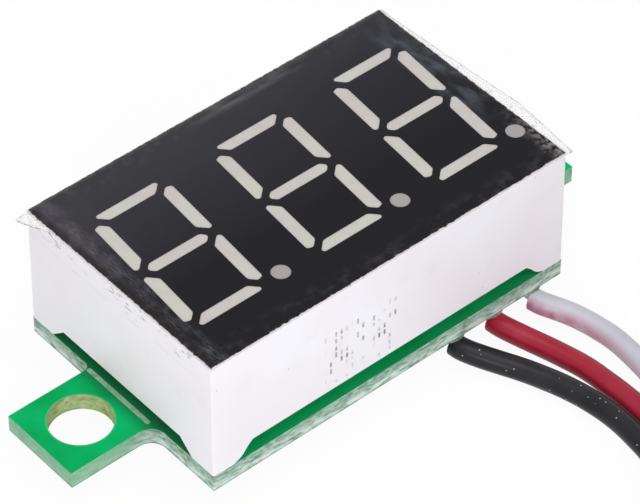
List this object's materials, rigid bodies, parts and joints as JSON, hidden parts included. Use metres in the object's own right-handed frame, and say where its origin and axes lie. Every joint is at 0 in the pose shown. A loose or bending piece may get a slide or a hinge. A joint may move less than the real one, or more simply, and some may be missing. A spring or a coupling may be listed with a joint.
{
  "type": "digital panel voltmeter",
  "caption": "Small LED panel voltmeter: white display housing with black face and seven-segment digits on a green eared board, with black, red and white leads.",
  "frame": {"origin": "middle of the meter's box on the surface that it lies on, face up, at the level of the display pin tips", "axes": "+X along the number from left to right, +Y towards the tops of the digits, +Z out of the face"},
  "size_m": [0.0388, 0.0393, 0.0099],
  "materials": {
    "housing_plastic": "moulded white, satin",
    "film": "black face film, scuffed at its edges",
    "flash_resin": "thin pale flash",
    "resin": "cast diffusing resin, unlit",
    "inner_board": "bare laminate",
    "led_die": "sawn die",
    "tinned_metal": "tin plated",
    "solder": "reflowed solder",
    "board": "green solder mask over glass laminate",
    "chip_mould": "moulded epoxy",
    "capacitor_ceramic": "fired ceramic",
    "resistor_glaze": "glazed",
    "trimmer_ceramic": "pressed ceramic",
    "rotor_brass": "stamped",
    "strands": "bare copper strands",
    "insulation_black": "extruded black insulation",
    "insulation_red": "extruded red insulation",
    "insulation_white": "extruded white insulation",
    "tie": "black plastic tie"
  },
  "bodies": {
    "meter": {"display_housing": "housing_plastic", "face_film": "film", "edge_flash": "flash_resin", "potting_resin": "resin", "led_board": "inner_board", "led_chips": "led_die", "display_pins_upper": "tinned_metal", "display_pins_lower": "tinned_metal", "pin_solder_upper": "solder", "pin_solder_lower": "solder", "main_board": "board", "microcontroller": "chip_mould", "microcontroller_leads": "tinned_metal", "voltage_regulator": "chip_mould", "regulator_leads": "tinned_metal", "protection_diode": "chip_mould", "diode_leads": "tinned_metal", "ceramic_capacitors": "capacitor_ceramic", "capacitor_ends": "tinned_metal", "chip_resistors": "resistor_glaze", "resistor_ends": "tinned_metal", "trimmer_base": "trimmer_ceramic", "trimmer_terminals": "tinned_metal", "trimmer_eyelet": "tinned_metal", "lead_solder": "solder", "lead_conductors": "strands", "lead_black": "insulation_black", "lead_red": "insulation_red", "lead_white": "insulation_white", "lead_coil": "insulation_black", "coil_tie": "tie", "lead_tips": "solder"},
    "trimmer": {"trimmer_rotor": "rotor_brass"}
  },
  "joints": [
    {"name": "trimmer_turn", "type": "hinge", "parent": "meter", "child": "trimmer", "pos_m": [-0.0088, 0.0021, 0.0006], "axis": [0, 0, 1], "range_deg": [-130, 130]}
  ]
}
